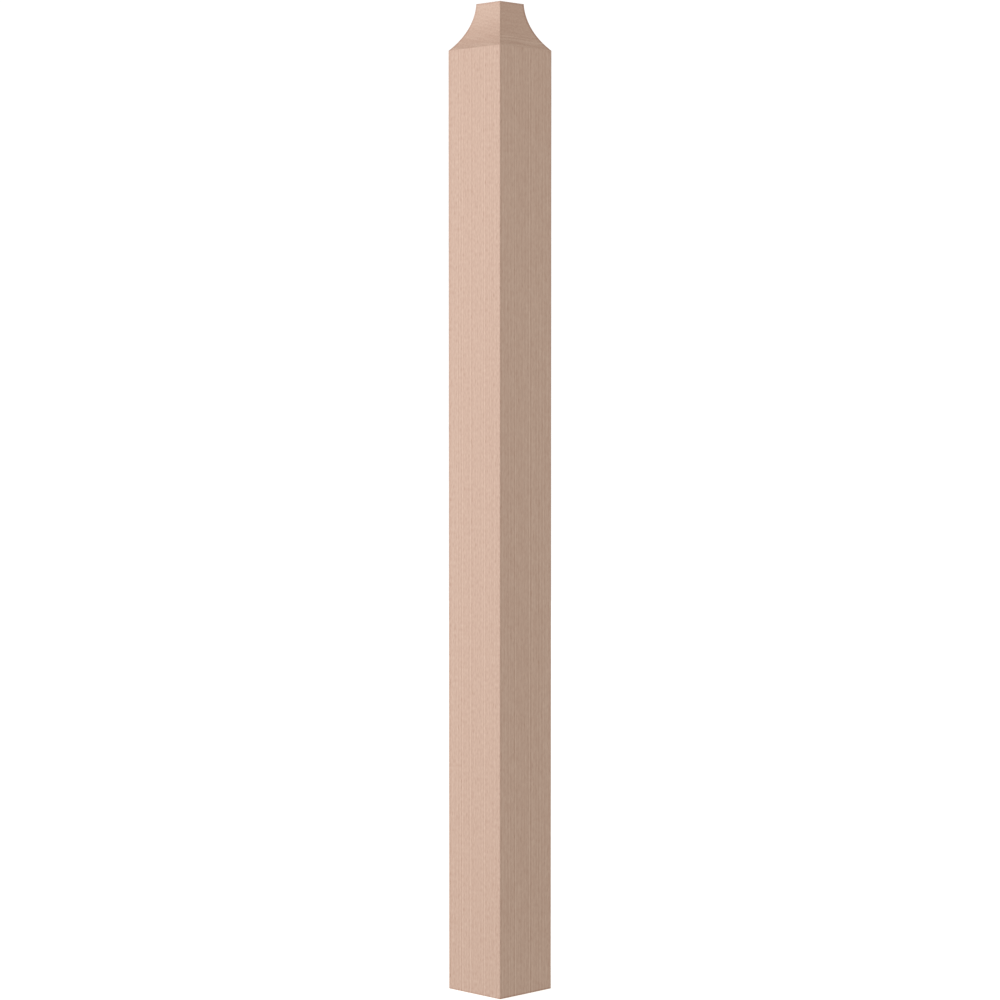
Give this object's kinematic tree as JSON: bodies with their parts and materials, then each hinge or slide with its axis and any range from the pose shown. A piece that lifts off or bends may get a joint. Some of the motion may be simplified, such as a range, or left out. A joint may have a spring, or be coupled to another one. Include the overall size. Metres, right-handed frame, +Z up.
{
  "type": "newel post",
  "caption": "Plain square newel post of bare wood, cut square at the foot, with concave scoops at the top that meet at mitred hips and leave a small flat square.",
  "frame": {"origin": "middle of the square foot, on the surface that the post stands on", "axes": "+Z up along the post; X and Y square to the shaft's faces"},
  "size_m": [0.0826, 0.0826, 1.1218],
  "materials": {
    "beech": "planed and sanded bare wood, unfinished and dull"
  },
  "bodies": {
    "root": {"newel_post": "beech"}
  },
  "joints": []
}
